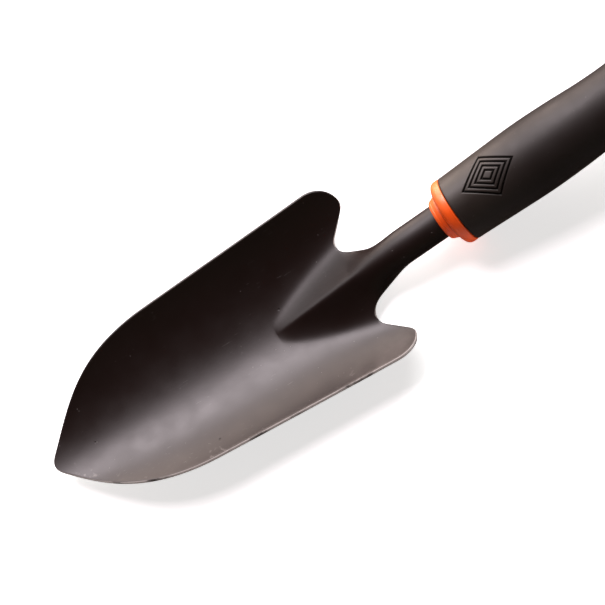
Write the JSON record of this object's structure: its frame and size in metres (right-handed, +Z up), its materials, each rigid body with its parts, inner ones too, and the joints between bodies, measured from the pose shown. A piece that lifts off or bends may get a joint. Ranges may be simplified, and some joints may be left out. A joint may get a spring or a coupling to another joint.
{
  "type": "hand trowel",
  "caption": "Hand trowel with a deep pressed steel scoop, shoulder lobes, a ridged channel neck, an orange stepped collar and a soft black grip.",
  "frame": {"origin": "middle of the trowel's footprint on the table that it lies on, at the height of the table", "axes": "+X from the blade's tip to the end of the handle, +Z up, on the blade's hollow side, Y across the blade; the trowel lies on its back, on the blade and the collar"},
  "size_m": [0.3198, 0.0824, 0.0436],
  "materials": {
    "painted_steel": "satin black baked paint on pressed sheet steel, with dust specks, fine scratches and bare metal worn at the rim",
    "orange_plastic": "moulded plastic with a soft sheen",
    "core_plastic": "plain moulded plastic, hidden inside the grip",
    "soft_rubber": "soft matt thermoplastic rubber with an engraved thumb tread"
  },
  "bodies": {
    "root": {"blade": "painted_steel", "front_collar": "orange_plastic", "handle_core": "core_plastic", "soft_grip": "soft_rubber", "end_cap": "orange_plastic"}
  },
  "joints": []
}
